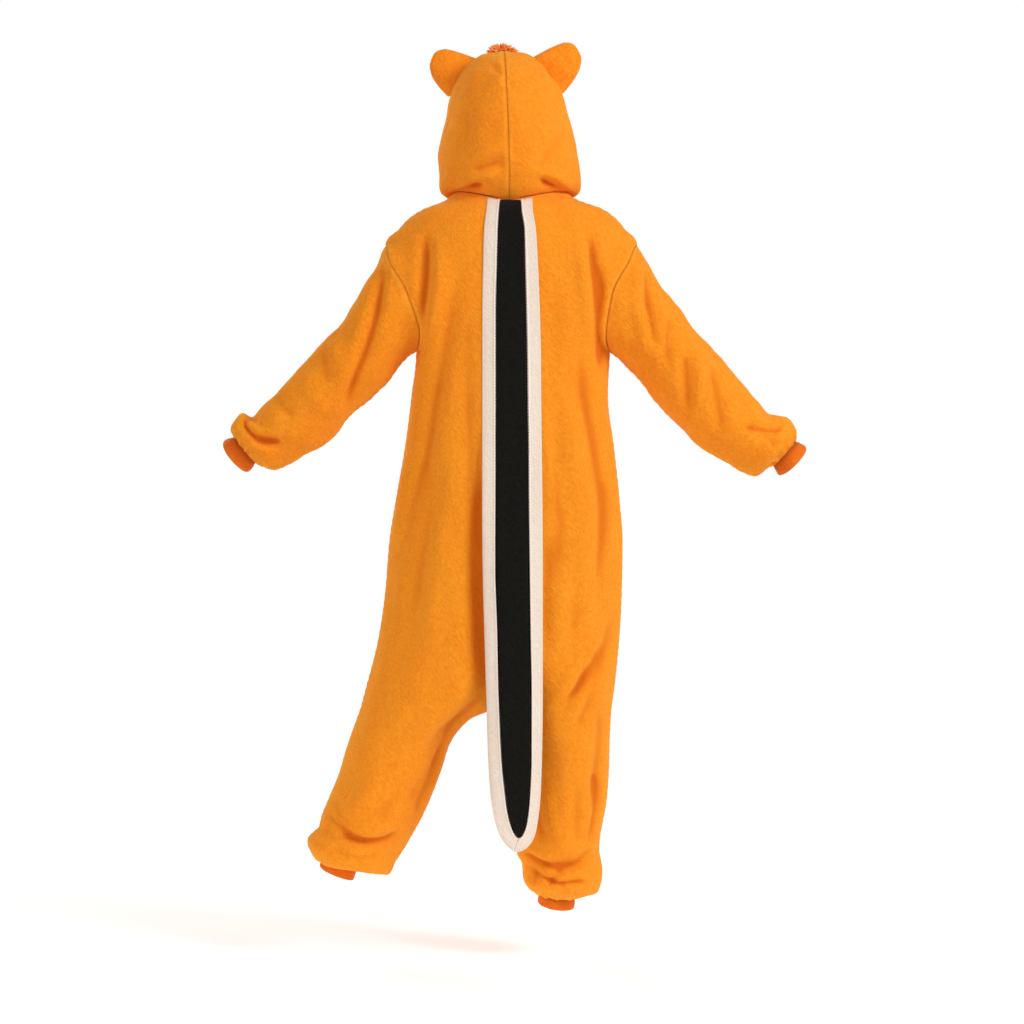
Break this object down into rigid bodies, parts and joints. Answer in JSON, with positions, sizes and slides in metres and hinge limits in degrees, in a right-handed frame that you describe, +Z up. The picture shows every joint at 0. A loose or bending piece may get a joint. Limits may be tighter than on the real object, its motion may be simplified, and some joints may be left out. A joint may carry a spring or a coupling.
{
  "type": "hooded onesie costume",
  "caption": "Loose hooded one-piece fleece costume, open at face, wrists and ankles, with stuffed ears, yarn tuft, knit cuffs and a striped back that ends in a tail.",
  "frame": {"origin": "between the wearer's shoulders, at the height where the neck seam crosses the shoulder line", "axes": "+Z up, the wearer faces -Y, +X is the wearer's left"},
  "size_m": [1.0866, 0.3031, 1.6151],
  "materials": {
    "orange_fleece": "matte short nap",
    "cuff_knit": "matte knit",
    "cream_fleece": "matte short nap",
    "black_fleece": "matte short nap",
    "yarn": "matte twisted yarn",
    "button_resin": "satin"
  },
  "bodies": {
    "root": {"back_left": "orange_fleece", "front_left": "orange_fleece", "sleeve_left": "orange_fleece", "hood_left": "orange_fleece", "stripe_cream_left": "cream_fleece", "back_right": "orange_fleece", "front_right": "orange_fleece", "sleeve_right": "orange_fleece", "hood_right": "orange_fleece", "stripe_cream_right": "cream_fleece", "wrist_cuff_left": "cuff_knit", "wrist_cuff_right": "cuff_knit", "ankle_cuff_left": "cuff_knit", "ankle_cuff_right": "cuff_knit", "ear_left": "orange_fleece", "ear_right": "orange_fleece", "stripe_black": "black_fleece", "tuft": "yarn", "button_band": "orange_fleece", "button_1": "button_resin", "button_2": "button_resin", "button_3": "button_resin", "button_4": "button_resin", "button_5": "button_resin"}
  },
  "joints": []
}
